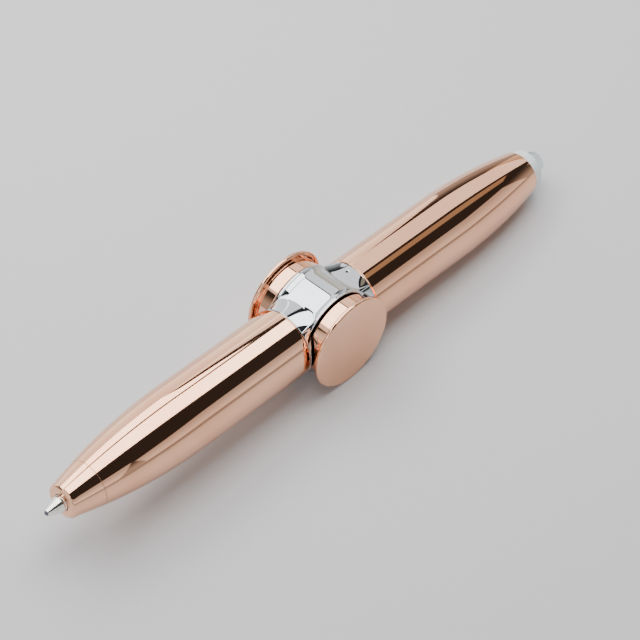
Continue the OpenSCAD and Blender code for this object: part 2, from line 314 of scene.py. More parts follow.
@dataclass(frozen=True)
class FrostedResin:
    """Milky translucent resin with a sand-blasted skin."""

    name: str
    colour: Triple
    cool: Triple
    clear_share: float = 0.35

    def build(self) -> bpy.types.Material:
        """Makes the material."""
        g = Graph(self.name)
        cloud = g.noise(g.place(), scale=380.0, detail=3.0).step(low=0.3, high=0.75)
        skin = g.noise(g.place(), scale=7000.0, detail=3.0, rough=0.65)
        return g.finish(
            Base_Color=g.mix(cloud, self.colour, self.cool),
            Roughness=skin * 0.2 + 0.34,
            Transmission_Weight=self.clear_share,
            IOR=1.49,
            Subsurface_Weight=0.25,
            Subsurface_Radius=(0.9, 0.9, 1.0),
            Subsurface_Scale=0.0012,
            Normal=g.bump(skin, distance=5e-6),
        )


@dataclass(frozen=True)
class ClearEpoxy:
    """Cast clear epoxy with slight flow waves and a touch of haze."""

    name: str
    colour: Triple
    haze: Triple = (0.72, 0.79, 0.84)

    def build(self) -> bpy.types.Material:
        """Makes the material."""
        g = Graph(self.name)
        flow = g.noise(g.place(), scale=500.0, detail=1.0)
        haze = g.noise(g.place(), scale=900.0, detail=3.0).step(low=0.45, high=0.8)
        return g.finish(
            Base_Color=g.mix(haze * 0.6, self.colour, self.haze),
            Roughness=haze * 0.08 + 0.02,
            Transmission_Weight=0.9,
            IOR=1.54,
            Normal=g.bump(flow, distance=1.5e-5),
        )


@dataclass(frozen=True)
class PalePaper:
    """Plain matte studio floor with a barely seen fibre grain."""

    name: str
    colour: Triple

    def build(self) -> bpy.types.Material:
        """Makes the material."""
        g = Graph(self.name)
        fibre = g.noise(g.place(), scale=900.0, detail=3.0, rough=0.6)
        deep = tuple(0.97 * c for c in self.colour)
        return g.finish(
            Base_Color=g.mix(fibre, self.colour, deep),
            Roughness=fibre * 0.1 + 0.75,
            Specular_IOR_Level=0.2,
            Normal=g.bump(fibre, distance=3e-5),
        )


class Finish(Enum):
    """Every finish on the pen, by the record's material slot."""

    ROSE_GOLD = PolishedPlate("rose_gold", (0.95, 0.53, 0.34), (0.92, 0.48, 0.30))
    HUB_CHROME = PolishedPlate(
        "hub_chrome", (0.62, 0.65, 0.67), (0.57, 0.60, 0.63), 0.025, 0.04,
        # The drilled mark on the rear collar is blackened with painted shade.
        buffed_along=(2600.0, 60.0, 2600.0), mark=(0.0073, 0.0, 0.0063),
    )
    BEARING_STEEL = TurnedMetal("bearing_steel", (0.62, 0.63, 0.65), (0.48, 0.48, 0.50), axis=1)
    BRASS = TurnedMetal("brass", (0.80, 0.60, 0.28), (0.62, 0.44, 0.20), 0.26)
    WHITE_PLASTIC = MouldedPlastic("white_plastic", (0.80, 0.79, 0.75), (0.74, 0.73, 0.70))
    REFILL_METAL = TurnedMetal("refill_metal", (0.68, 0.69, 0.71), (0.55, 0.55, 0.57))
    TIP_NICKEL = TurnedMetal("tip_nickel", (0.93, 0.91, 0.86), (0.82, 0.79, 0.73), 0.08)
    BALL_CARBIDE = TurnedMetal("ball_carbide", (0.16, 0.17, 0.20), (0.08, 0.08, 0.10), 0.2)
    CELL_STEEL = TurnedMetal("cell_steel", (0.70, 0.71, 0.72), (0.60, 0.60, 0.62), 0.3)
    FROSTED_PLASTIC = FrostedResin("frosted_plastic", (0.90, 0.95, 0.96), (0.78, 0.86, 0.89), 0.18)
    CLEAR_EPOXY = ClearEpoxy("clear_epoxy", (0.78, 0.85, 0.90))
    LEAD_TIN = TurnedMetal("lead_tin", (0.74, 0.74, 0.73), (0.60, 0.60, 0.60), 0.28)
    LED_PHOSPHOR = MouldedPlastic("led_phosphor", (0.90, 0.72, 0.16), (0.82, 0.62, 0.12))

    @property
    def slot(self) -> str:
        """The record's material slot of this finish."""
        return self.value.name

    def material(self) -> bpy.types.Material:
        """The finish's material, made once."""
        found = bpy.data.materials.get(f"{self.slot}_finish")
        if found is None:
            found = self.value.build()
            found.name = f"{self.slot}_finish"
        return found


# ---------------- surfaces


# How outlines are rounded and welded: an arc's step in degrees and its fewest points, the largest
# share of a side that it takes, its guard points' distance in mm and as a share of the side, the
# half angle from which a corner counts as straight, and the decimals of a mm that are kept.
ARC_STEP = 9
ARC_POINTS = 4
SIDE_SHARE = 0.45
GUARD_LEN = 0.1
GUARD_SHARE = 0.1
NEARLY_STRAIGHT = math.pi / 2 - 0.02
WELD_DIGITS = 5


def rounded(corners: Sequence[Triple], closed: bool = True) -> np.ndarray:
    """Outline through corners, each rounded by an arc tangent to both of its sides.

    A corner's arc starts and ends at its radius over the tangent of half its angle from the
    corner, and its centre is at the radius over the sine of half the angle along the bisector.
    Short guard points next to each arc keep the flat runs flat when the mesh is shaded smooth.

    Args:
        corners: (radius from the axis, distance along it, rounding) for each corner, in mm.
        closed: True if the last corner joins the first.

    Returns:
        Points as an array of (radius, distance) rows.
    """
    pts = np.array([c[:2] for c in corners], float)
    count = len(pts)
    chains = []
    for i, (_, _, fillet) in enumerate(corners):
        before, here, after = pts[i - 1], pts[i], pts[(i + 1) % count]
        if (not closed and i in (0, count - 1)) or fillet <= 0:
            chains.append(here[None, :])
            continue
        a, b = before - here, after - here
        la, lb = np.linalg.norm(a), np.linalg.norm(b)
        a, b = a / la, b / lb
        half = 0.5 * math.acos(float(np.clip(a @ b, -1, 1)))
        if half > NEARLY_STRAIGHT:
            chains.append(here[None, :])
            continue
        reach = min(fillet / math.tan(half), SIDE_SHARE * la, SIDE_SHARE * lb)
        radius = reach * math.tan(half)
        centre = here + (a + b) / np.linalg.norm(a + b) * radius / math.sin(half)
        start, end = here + a * reach - centre, here + b * reach - centre
        sweep = math.pi - 2 * half
        t = np.linspace(0, 1, max(ARC_POINTS, int(math.degrees(sweep) / ARC_STEP) + 2))[:, None]
        arc = (np.sin((1 - t) * sweep) * start + np.sin(t * sweep) * end) / math.sin(sweep)
        guard = min(0.5 * radius, GUARD_LEN)
        lead = here + a * (reach + min(guard, GUARD_SHARE * (la - reach)))
        tail = here + b * (reach + min(guard, GUARD_SHARE * (lb - reach)))
        chains.append(np.vstack([lead, centre + arc, tail]))
    return np.vstack(chains)


def filled(outline: np.ndarray, longest: float, closed: bool = True) -> np.ndarray:
    """Adds even points along each long run of an outline.

    Args:
        outline: (radius, distance) rows, in mm.
        longest: the longest run that is left whole, in mm.
        closed: True if the last point joins the first.

    Returns:
        The outline with the added points.
    """
    after = np.roll(outline, -1, 0) if closed else outline[1:]
    start = outline if closed else outline[:-1]
    counts = np.maximum(1, np.ceil(np.linalg.norm(after - start, axis=1) / longest)).astype(int)
    parts = [p + (q - p) * np.arange(n)[:, None] / n for p, q, n in zip(start, after, counts)]
    return np.vstack(parts if closed else [*parts, outline[-1:]])


def lathe_x(outline: np.ndarray, steps: int) -> np.ndarray:
    """Turns an outline about X: each point becomes (distance, radius cos a, radius sin a).

    Args:
        outline: (radius, distance) rows.
        steps: how many angles a full turn has.

    Returns:
        A grid of points, with a row for each outline point and a column for each angle.
    """
    a = np.arange(steps) * TURN / steps
    r, d = outline[:, :1], outline[:, 1:]
    return np.stack([d + 0 * a, r * np.cos(a), r * np.sin(a)], -1)


def lathe_y(outline: np.ndarray, steps: int) -> np.ndarray:
    """The same about Y: lathe_x with its first two coordinates exchanged."""
    return lathe_x(outline, steps)[..., [1, 0, 2]]


def grid_triangles(rows: int, columns: int, close_rows: bool, close_columns: bool) -> np.ndarray:
    """Triangles of a grid of points numbered row by row, two for each cell.

    Args:
        rows: how many rows the grid has.
        columns: how many columns it has.
        close_rows: True if the last row joins the first.
        close_columns: True if the last column joins the first.

    Returns:
        Point numbers, three for each triangle.
    """
    i = np.arange(rows if close_rows else rows - 1)[:, None]
    j = np.arange(columns if close_columns else columns - 1)[None, :]
    i1, j1 = (i + 1) % rows, (j + 1) % columns
    a, b, c, d = i * columns + j, i * columns + j1, i1 * columns + j1, i1 * columns + j
    cells = np.stack([a, b, c, a, c, d], -1)
    return cells.reshape(-1, 3)


@dataclass
class Shell:
    """Closed surfaces given as grids of points, which become one mesh piece.

    Attributes:
        name: the piece's name.
        grids: (points, rows close, columns close) of each surface, in mm.
    """

    name: str
    grids: list[tuple[np.ndarray, bool, bool]] = field(default_factory=list)

    def add(self, points: np.ndarray, close_rows: bool = True, close_columns: bool = True) -> "Shell":
        """Adds a surface and returns the shell."""
        self.grids.append((points, close_rows, close_columns))
        return self

    def _surface(self, points: np.ndarray, rows: bool, columns: bool) -> tuple[np.ndarray, np.ndarray]:
        """Welds a grid's equal points, drops its flat triangles and turns its faces outwards.

        The enclosed volume is the sum of each triangle's corner triple product over six; a
        negative sum means that the faces point inwards.

        Args:
            points: a grid of points, in mm.
            rows: True if its last row joins the first.
            columns: True if its last column joins the first.

        Returns:
            The welded points and the triangles between them.
        """
        n, m = points.shape[:2]
        flat = points.reshape(-1, 3)
        tri = grid_triangles(n, m, rows, columns)
        near = np.round(flat, WELD_DIGITS)
        _, first, back = np.unique(near, axis=0, return_index=True, return_inverse=True)
        tri = back.reshape(-1)[tri]
        flat = flat[first]
        distinct = (tri[:, 0] != tri[:, 1]) & (tri[:, 1] != tri[:, 2]) & (tri[:, 2] != tri[:, 0])
        tri = tri[distinct]
        a, b, c = flat[tri[:, 0]], flat[tri[:, 1]], flat[tri[:, 2]]
        volume = np.einsum("ij,ij->", a, np.cross(b, c))
        return flat, tri if volume > 0 else tri[:, ::-1]

    def build(self, finish: Finish, body: str, *nodes: str) -> bpy.types.Object:
        """Makes the piece, dresses it and fastens it to its body.

        Args:
            finish: its finish.
            body: the CAD body that it rides on.
            nodes: the CAD nodes that it stands for.

        Returns:
            The new object.
        """
        points, faces, offset = [], [], 0
        for grid in self.grids:
            flat, tri = self._surface(*grid)
            points.append(flat)
            faces.append(tri + offset)
            offset += len(flat)
        piece = mesh_object(self.name, np.vstack(points) * MM, np.vstack(faces))
        piece.data.materials.append(finish.material())
        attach(piece, body)
        if nodes:
            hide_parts(*nodes)
        finish.slot
        log.info("%s: %d triangles on %s", self.name, len(piece.data.polygons), body)
        return piece


def mesh_object(name: str, points: np.ndarray, tri: np.ndarray) -> bpy.types.Object:
    """Makes a smooth mesh object at the origin.

    Args:
        name: its name.
        points: its points, in metres.
        tri: point numbers, three for each triangle.

    Returns:
        The new object.
    """
    mesh = bpy.data.meshes.new(name)
    mesh.vertices.add(len(points))
    mesh.vertices.foreach_set("co", points.astype(np.float32).ravel())
    mesh.loops.add(tri.size)
    mesh.loops.foreach_set("vertex_index", tri.astype(np.int32).ravel())
    mesh.polygons.add(len(tri))
    mesh.polygons.foreach_set("loop_start", np.arange(0, tri.size, 3, dtype=np.int32))
    mesh.update(calc_edges=True)
    mesh.polygons.foreach_set("use_smooth", np.ones(len(tri), bool))
    mesh.validate()
    made = bpy.data.objects.new(name, mesh)
    bpy.context.scene.collection.objects.link(made)
    return made


def box_mm(node: str) -> tuple[np.ndarray, np.ndarray]:
    """Lowest and highest corner of a CAD node, in mm."""
    low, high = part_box(node)
    return np.array(low) / MM, np.array(high) / MM


# ---------------- barrels


@dataclass
class Barrel:
    """One half of the pen's skin: straight from the hub, then a long circular taper.

    Attributes:
        node: the CAD node that it stands for.
        body: the body that it rides on.
        side: -1 for the front half, 1 for the rear half.
        taper_end: distance from the spin axis that the taper's radius is given at.
        taper_end_r: the radius there.
        mouth_r: radius of the opening in the outer end.
        mouth_len: length of that opening, up to the wider bore.
        end_round: rounding of the outer end's edge.

    The other lengths are in mm too. The seat and the relief are the wider bores by the hub.
    """

    node: str
    body: str
    side: int
    taper_end: float
    taper_end_r: float
    mouth_r: float
    mouth_len: float
    end_round: float
    taper_start: float = 34.0
    chamfer: float = 0.35
    wall: float = 1.4
    seat_r: float = 5.9
    seat_len: float = 6.4
    relief_r: float = 5.35
    relief_len: float = 8.5
    relief_lead: float = 0.3
    taper_lead: float = 3.0
    end_gap: float = 0.2
    taper_points: int = 60
    bore_points: int = 40
    steps: int = 320

    def __post_init__(self) -> None:
        """Reads the barrel's radius and ends from its CAD box."""
        low, high = box_mm(self.node)
        self.radius = (high[2] - low[2]) / 2
        ends = sorted(abs(x) for x in (low[0], high[0]))
        self.start, self.end = ends

    def skin(self, distance: np.ndarray) -> np.ndarray:
        """Radius of the skin at a distance from the spin axis.

        Past the taper's start the skin is a circle's arc, tangent to the straight part:
        radius = barrel radius - rho + sqrt(rho squared - (distance past the start) squared).

        Args:
            distance: how far from the spin axis, in mm.

        Returns:
            The radius there, in mm.
        """
        span = self.taper_end - self.taper_start
        drop = self.radius - self.taper_end_r
        rho = (span**2 + drop**2) / (2 * drop)
        past = np.clip(distance - self.taper_start, 0, None)
        return self.radius - rho + np.sqrt(rho**2 - past**2)

    def _outer(self) -> list[Triple]:
        """Corners of the outer skin, from the hub to the outer end."""
        start, radius = self.start, self.radius
        taper = np.linspace(self.taper_start - self.taper_lead, self.end - self.end_gap, self.taper_points)
        return [
            (radius - self.chamfer, start, 0.05),
            (radius, start + self.chamfer, 0.08),
            *((float(r), float(x), 0.0) for r, x in zip(self.skin(taper), taper)),
            (float(self.skin(np.array(self.end))), self.end, self.end_round),
        ]

    def outline(self) -> np.ndarray:
        """Closed outline of the barrel's wall."""
        start, end = self.start, self.end
        relief_end = start + self.relief_len
        inner = np.linspace(end - self.mouth_len, relief_end + self.relief_lead, self.bore_points)
        bore = np.minimum(self.skin(inner) - self.wall, self.radius - self.wall)
        corners = [
            *self._outer(),
            (self.mouth_r, end, 0.05),
            (self.mouth_r, end - self.mouth_len, 0.0),
            *((float(r), float(x), 0.0) for r, x in zip(bore, inner)),
            (self.relief_r, relief_end, 0.0),
            (self.relief_r, start + self.seat_len, 0.0),
            (self.seat_r, start + self.seat_len, 0.0),
            (self.seat_r, start, 0.08),
        ]
        return filled(rounded(corners), longest=2.0)

    def build(self) -> bpy.types.Object:
        """Makes the barrel."""
        points = lathe_x(self.outline(), self.steps) * (self.side, 1, 1)
        return Shell(f"{self.node}_skin").add(points).build(Finish.ROSE_GOLD, self.body, self.node)


@dataclass
class Nose:
    """Nose cone: the last stretch of the front taper, with a full rounded front and a spigot."""

    barrel: Barrel
    node: str = "nose_cone"
    spigot_r: float = 3.1
    spigot_len: float = 4.5
    bore_r: float = 1.6
    front_round: float = 1.3
    seam_gap: float = 0.05
    seam_lead: float = 0.2
    front_lead: float = 0.15
    front_at: float = 0.6
    taper_points: int = 24
    steps: int = 256

    def outline(self) -> np.ndarray:
        """Closed outline of the cone's wall."""
        low, _ = box_mm(self.node)
        tip = -low[0]
        seam = self.barrel.end + self.seam_gap
        front = tip - self.front_round - self.front_lead
        taper = np.linspace(seam + self.seam_lead, front, self.taper_points)
        radii = self.barrel.skin(taper)
        corners = [
            (float(self.barrel.skin(np.array(seam))), seam, 0.03),
            *((float(r), float(x), 0.0) for r, x in zip(radii, taper)),
            (float(self.barrel.skin(np.array(tip - self.front_at))), tip, self.front_round),
            (self.bore_r, tip, 0.08),
            (self.bore_r, seam - self.spigot_len, 0.05),
            (self.spigot_r, seam - self.spigot_len, 0.1),
            (self.spigot_r, seam, 0.0),
        ]
        return filled(rounded(corners), longest=1.0)

    def build(self) -> bpy.types.Object:
        """Makes the nose cone."""
        points = lathe_x(self.outline(), self.steps) * (-1, 1, 1)
        return Shell("nose_cone_skin").add(points).build(Finish.ROSE_GOLD, self.barrel.body, self.node)


# ---------------- hub


@dataclass
class Hub:
    """Chrome casting: a waisted drum about the spin axis with a collar and a spigot on each side."""

    node: str = "hub_housing"
    body: str = "hub"
    half: float = 4.15
    drum_r: float = 8.35
    waist: float = 0.3
    flare: float = 1.15
    collar_r: float = 6.66
    root_at: float = 5.0
    root_half: float = 4.65
    root_crown: float = 20.0
    blend: float = 0.28
    edge: float = 0.1
    bore_r: float = 6.5
    bezel_bore: float = 5.65
    spigot_r: float = 5.2
    thread_depth: float = 0.32
    pitch: float = 1.0
    socket_r: float = 3.0
    mark_at: float = 7.3
    mark_r: float = 0.25
    mark_edge: float = 0.06
    mark_depth: float = 1.0
    mark_inner: float = 0.45
    mark_band: float = 0.5
    ear_top: float = 5.8
    ear_edge: float = 0.06
    edge_share: float = 0.3
    root_tall: float = 5.2
    overlap: float = 0.02
    spigot_root: float = 0.3
    spigot_chamfer: float = 0.35
    socket_chamfer: float = 0.2
    thread_start: float = 0.3
    thread_stop: float = 0.6
    thread_fade: float = 0.8
    ridge_power: float = 0.8
    rim_rows: int = 33
    mark_rows: int = 25
    over_columns: int = 301
    face_columns: int = 19
    edge_points: int = 6
    ear_rows: int = 91
    cut_points: int = 5
    run_points: int = 7
    thread_rows: int = 110
    thread_columns: int = 72
    ring_steps: int = 320

    def __post_init__(self) -> None:
        """Reads the collars' reach from the barrel that meets them, and the spigots' from the hub."""
        self.reach = box_mm("rear_barrel")[0][0]
        self.spigot_end = box_mm(self.node)[1][0]

    def drum(self, y: np.ndarray) -> np.ndarray:
        """Radius of the drum: even in the middle, rising to each rim with the square of the way."""
        way = np.clip((np.abs(y) - self.half + self.flare) / self.flare, 0, 1)
        return self.drum_r - self.waist * (1 - way**2)

    def slope(self, y: np.ndarray) -> tuple[np.ndarray, np.ndarray]:
        """A collar's height line over the distance x from the spin axis: height = top - fall x.

        At the reach the height is the barrel's circle, sqrt(collar squared - y squared). At the
        root it is the crowned top, collar - crown + sqrt(crown squared - y squared).

        Args:
            y: distance from the pen's middle plane, in mm.

        Returns:
            The line's top and its fall.
        """
        round_top = np.sqrt(np.clip(self.collar_r**2 - y**2, 0, None))
        flat_top = self.collar_r - self.root_crown + np.sqrt(self.root_crown**2 - y**2)
        fall = (flat_top - round_top) / (self.reach - self.root_at)
        return round_top + fall * self.reach, fall

    def skin(self, angle: np.ndarray, y: np.ndarray) -> np.ndarray:
        """Distance from the spin axis to the casting's skin.

        The collar's distance is top / (|sine| + fall |cosine|). The skin is the greater of
        drum and collar, blended over a width k: with h = 1/2 + (a - b) / 2k held between 0
        and 1, it is b + (a - b) h + k h (1 - h). The end faces cut it at the reach over the
        cosine, and the drilled mark sinks it on the rear collar.

        Args:
            angle: direction about the spin axis, from +X towards +Z, in radians.
            y: distance from the pen's middle plane, in mm.

        Returns:
            The distance, in mm.
        """
        top, fall = self.slope(y)
        sine, cosine = np.abs(np.sin(angle)), np.maximum(np.abs(np.cos(angle)), 1e-6)
        collar = np.minimum(top / np.maximum(sine + fall * cosine, 1e-6), 3 * self.drum_r)
        drum = self.drum(y) + 0 * angle
        h = np.clip(0.5 + 0.5 * (drum - collar) / self.blend, 0, 1)
        both = collar + (drum - collar) * h + self.blend * h * (1 - h)
        both = np.minimum(both, self.reach / cosine)
        away = np.hypot(both * np.cos(angle) - self.mark_at, y)
        sunk = np.clip((self.mark_r + self.mark_edge - away) / (2 * self.mark_edge), 0, 1)
        sunk = sunk * (np.sin(angle) > 0)
        return both - self.mark_depth * sunk * sunk * (3 - 2 * sunk)

    def core(self) -> np.ndarray:
        """The part of the casting between its two bezels, as rows of y by columns of angle.

        Each row's angles run evenly from one end face's edge to the other's, over the top,
        down the rear face, under the bottom and up the front face, so that the grid's lines
        follow the edges. Rows go over the skin, down one side, through the bore and back.
        """
        rim = self.half - self.edge
        across = np.concatenate([
            np.linspace(-rim, -self.mark_band, self.rim_rows),
            np.linspace(-self.mark_inner, self.mark_inner, self.mark_rows),
            np.linspace(self.mark_band, rim, self.rim_rows),
        ])
        corner = np.arctan2(np.sqrt(self.collar_r**2 - across**2), self.reach)[:, None]
        top = np.linspace(0, 1, self.over_columns)[None, :-1]
        face = np.linspace(0, 1, self.face_columns)[None, :-1]
        over = corner + (math.pi - 2 * corner) * top
        front = math.pi - corner + 2 * corner * face
        angle = np.concatenate([over, front, over + math.pi, front + math.pi], 1)
        rho = self.skin(angle, across[:, None])
        skin = np.stack([rho * np.cos(angle), across[:, None] + 0 * rho, rho * np.sin(angle)], -1)
        turn = np.linspace(0, math.pi / 2, self.edge_points)[1:, None]

        def side(sign: int, row: int) -> np.ndarray:
            """Rounded edge and side face down to the bore, from the skin's last row."""
            base, a = rho[row][None, :], angle[row][None, :]
            r = np.vstack([base - self.edge * (1 - np.cos(turn)), 0 * base + self.bore_r])
            y = np.vstack([rim + self.edge * np.sin(turn) + 0 * a, self.half + 0 * a])
            return np.stack([r * np.cos(a), sign * y, r * np.sin(a)], -1)

        return np.concatenate([skin, side(1, -1), side(-1, 0)[::-1]], 0)

    def ear(self, end: int, side: int) -> np.ndarray:
        """The part of a collar beside a bezel: four-sided sections with broken corners, along Z.

        At height z a section runs from the bezel's cylinder, x = sqrt(drum squared - z
        squared), to the end face, or above the end face's edge to the collar's top line. It
        runs from the bezel's plane to the collar's side, which goes from the barrel's circle
        at the reach to the root's half width.

        Args:
            end: -1 for the front collar, 1 for the rear one.
            side: -1 for the near bezel, 1 for the far one.

        Returns:
            A grid of points, in mm.
        """
        plane = self.half - self.overlap
        top, fall = self.slope(np.array(self.half))
        tall = float(top - fall * math.sqrt(self.drum_r**2 - self.ear_top**2))
        z = tall * np.sin(np.linspace(-1, 1, self.ear_rows) * math.pi / 2)[:, None]
        x0 = np.sqrt(self.drum_r**2 - z**2)
        x1 = np.maximum(np.minimum(self.reach, (top - np.abs(z)) / fall), x0)
        circle = np.sqrt(np.clip(self.collar_r**2 - z**2, self.half**2, None))

        def wide(x: np.ndarray) -> np.ndarray:
            """Half width of the collar at a distance x."""
            share = np.clip((self.reach - x) / (self.reach - self.root_at), 0, 1)
            inner = np.where(np.abs(z) < self.root_tall, self.root_half, self.half)
            return np.maximum(circle + (np.minimum(inner, circle) - circle) * share, plane)

        t = np.linspace(0, math.pi / 2, self.cut_points)[None, :]
        run = np.linspace(0, 1, self.run_points)[None, 1:-1]
        cut = np.minimum(self.ear_edge, self.edge_share * np.minimum(x1 - x0, wide(x1) - plane))
        xa, xb = x0 + cut * (1 - np.cos(t)), x1 - cut + cut * np.sin(t)
        ya, yb = wide(x0) - cut + cut * np.sin(t), wide(x1) - cut + cut * np.cos(t)
        mid_x = x0 + cut + (x1 - x0 - 2 * cut) * run
        mid_y = wide(x0) + (wide(x1) - wide(x0)) * run
        x = np.concatenate([x0 + 0 * run, xa, mid_x, xb, x1 + 0 * run, x1, x0], 1)
        y = np.concatenate([
            plane + (ya[:, :1] - plane) * run, ya, mid_y, yb,
            yb[:, -1:] + (plane - yb[:, -1:]) * run, plane + 0 * z, plane + 0 * z,
        ], 1)
        return np.stack([end * x, side * y, z + 0 * x], -1)

    def spigot(self, end: int) -> np.ndarray:
        """Threaded spigot: its radius follows a cosine ridge that advances one pitch a turn.

        The ridge fades in over its first millimetre and out over the last thread_fade, and the
        end has a chamfer, a face and a socket bore.

        Args:
            end: -1 for the front spigot, 1 for the rear one.

        Returns:
            A grid of points, in mm.
        """
        root = self.reach - self.spigot_root
        x = np.linspace(root, self.spigot_end - self.spigot_chamfer, self.thread_rows)[:, None]
        a = np.arange(self.thread_columns)[None, :] * TURN / self.thread_columns
        starts = np.clip(x - self.reach - self.thread_start, 0, 1)
        stops = np.clip((self.spigot_end - self.thread_stop - x) / self.thread_fade, 0, 1)
        ridge = 0.5 - 0.5 * np.cos(TURN * x / self.pitch - end * a)
        r = self.spigot_r - self.thread_depth * (starts * stops) * ridge**self.ridge_power
        tail = np.array([
            (self.spigot_r - self.spigot_chamfer, self.spigot_end),
            (self.socket_r + self.socket_chamfer, self.spigot_end),
            (self.socket_r, self.spigot_end - self.socket_chamfer), (self.socket_r, root),
        ])
        r = np.vstack([r, tail[:, :1] + 0 * a])
        x = np.vstack([x + 0 * a, tail[:, 1:] + 0 * a])
        return np.stack([end * x, r * np.cos(a), r * np.sin(a)], -1)

    def bezel(self, side: int) -> bpy.types.Object:
        """Ring that holds the bearing in: a rim beside the drum and a sleeve inside it."""
        node = "near_bezel" if side < 0 else "far_bezel"
        low, high = box_mm(node)
        inner, outer = sorted(abs(v) for v in (low[1], high[1]))
        corners = [
            (self.bezel_bore, inner, 0.05), (self.bore_r, inner, 0.05), (self.bore_r, self.half, 0.0),
            (self.drum_r, self.half, 0.1), (self.drum_r, outer, 0.12), (self.bezel_bore, outer, 0.15),
        ]
        points = lathe_y(filled(rounded(corners), longest=0.8), self.ring_steps) * (1, side, 1)
        return Shell(f"{node}_ring").add(points).build(Finish.HUB_CHROME, self.body, node)

    def build(self) -> list[bpy.types.Object]:
        """Makes the casting and its two bezels."""
        casting = Shell("hub_casting").add(self.core())
        for end in (-1, 1):
            casting.add(self.spigot(end))
            for side in (-1, 1):
                casting.add(self.ear(end, side), close_rows=False)
        made = [casting.build(Finish.HUB_CHROME, self.body, self.node)]
        return made + [self.bezel(side) for side in (-1, 1)]


# ---------------- finger caps


@dataclass
class FingerCap:
    """Thin polished disc with a boss, a shoulder and a stub that enters the bearing."""

    side: int
    disc_t: float = 0.9
    disc_round: float = 0.4
    boss_r: float = 7.9
    boss_at: float = 5.0
    shoulder_r: float = 3.95
    shoulder_at: float = 2.5
    stub_r: float = 3.0
    stub_at: float = 0.1
    socket_r: float = 1.5
    socket_len: float = 6.2
    steps: int = 360

    def build(self) -> bpy.types.Object:
        """Makes the cap."""
        node = "near_cap" if self.side < 0 else "far_cap"
        low, high = box_mm(node)
        face, radius = max(abs(low[1]), abs(high[1])), high[2]
        back = face - self.disc_t
        corners = [
            (0.0, face, 0.0), (radius, face, self.disc_round), (radius, back, self.disc_round),
            (self.boss_r, back, 0.12), (self.boss_r, self.boss_at, 0.15),
            (self.shoulder_r, self.boss_at, 0.1),
            (self.shoulder_r, self.shoulder_at, 0.0), (self.stub_r, self.shoulder_at, 0.0),
            (self.stub_r, self.stub_at, 0.0), (self.socket_r, self.stub_at, 0.0),
            (self.socket_r, self.socket_len, 0.0), (0.0, self.socket_len, 0.0),
        ]
        outline = filled(rounded(corners, closed=False), longest=0.7, closed=False)
        points = lathe_y(outline, self.steps) * (1, self.side, 1)
        shell = Shell(f"{node}_disc").add(points, close_rows=False)
        return shell.build(Finish.ROSE_GOLD, "caps", node)


# ---------------- writing tip


@dataclass
class WritingTip:
    """Turned cone of the refill and the ball in its end."""

    tube_r: float = 1.5
    plug_r: float = 1.25
    plug_len: float = 3.0
    cone_len: float = 2.7
    lip_r: float = 0.62
    lip_len: float = 0.02
    groove: float = 0.06
    groove_at: tuple[float, float, float, float] = (0.5, 0.44, 0.3, 0.24)
    ball_r: float = 0.5
    seat_share: float = 0.75
    seat_depth: float = 0.35
    cone_steps: int = 128
    ball_steps: int = 80
    ball_points: int = 41

    def cone(self) -> bpy.types.Object:
        """Makes the cone with its plug, its shoulder groove and its lip round the ball."""
        low, high = box_mm("refill_tip")
        face, back = -low[0], -high[0]
        front = back + self.plug_len
        start = face - self.cone_len
        neck = self.tube_r - self.groove
        groove = [start - behind for behind in self.groove_at]
        corners = [
            (0.0, back, 0.0), (self.plug_r, back, 0.1), (self.plug_r, front, 0.0),
            (self.tube_r, front, 0.1), (self.tube_r, groove[0], 0.04), (neck, groove[1], 0.03),
            (neck, groove[2], 0.03), (self.tube_r, groove[3], 0.04), (self.tube_r, start, 0.25),
            (self.lip_r, face - self.lip_len, 0.05), (self.ball_r * self.seat_share, face, 0.0),
            (0.0, face - self.seat_depth, 0.0),
        ]
        outline = filled(rounded(corners, closed=False), longest=0.3, closed=False)
        points = lathe_x(outline, self.cone_steps) * (-1, 1, 1)
        shell = Shell("refill_tip_cone").add(points, close_rows=False)
        return shell.build(Finish.TIP_NICKEL, "hub", "refill_tip")

    def ball(self) -> bpy.types.Object:
        """Makes the writing ball as a half circle turned about X."""
        low, high = box_mm("writing_ball")
        centre, radius = (low[0] + high[0]) / 2, (high[0] - low[0]) / 2
        t = np.linspace(0, math.pi, self.ball_points)
        outline = np.stack([radius * np.sin(t), centre + radius * np.cos(t)], -1)
        shell = Shell("writing_ball_round").add(lathe_x(outline, self.ball_steps), close_rows=False)
        return shell.build(Finish.BALL_CARBIDE, "tip_ball", "writing_ball")


# ---------------- tail light


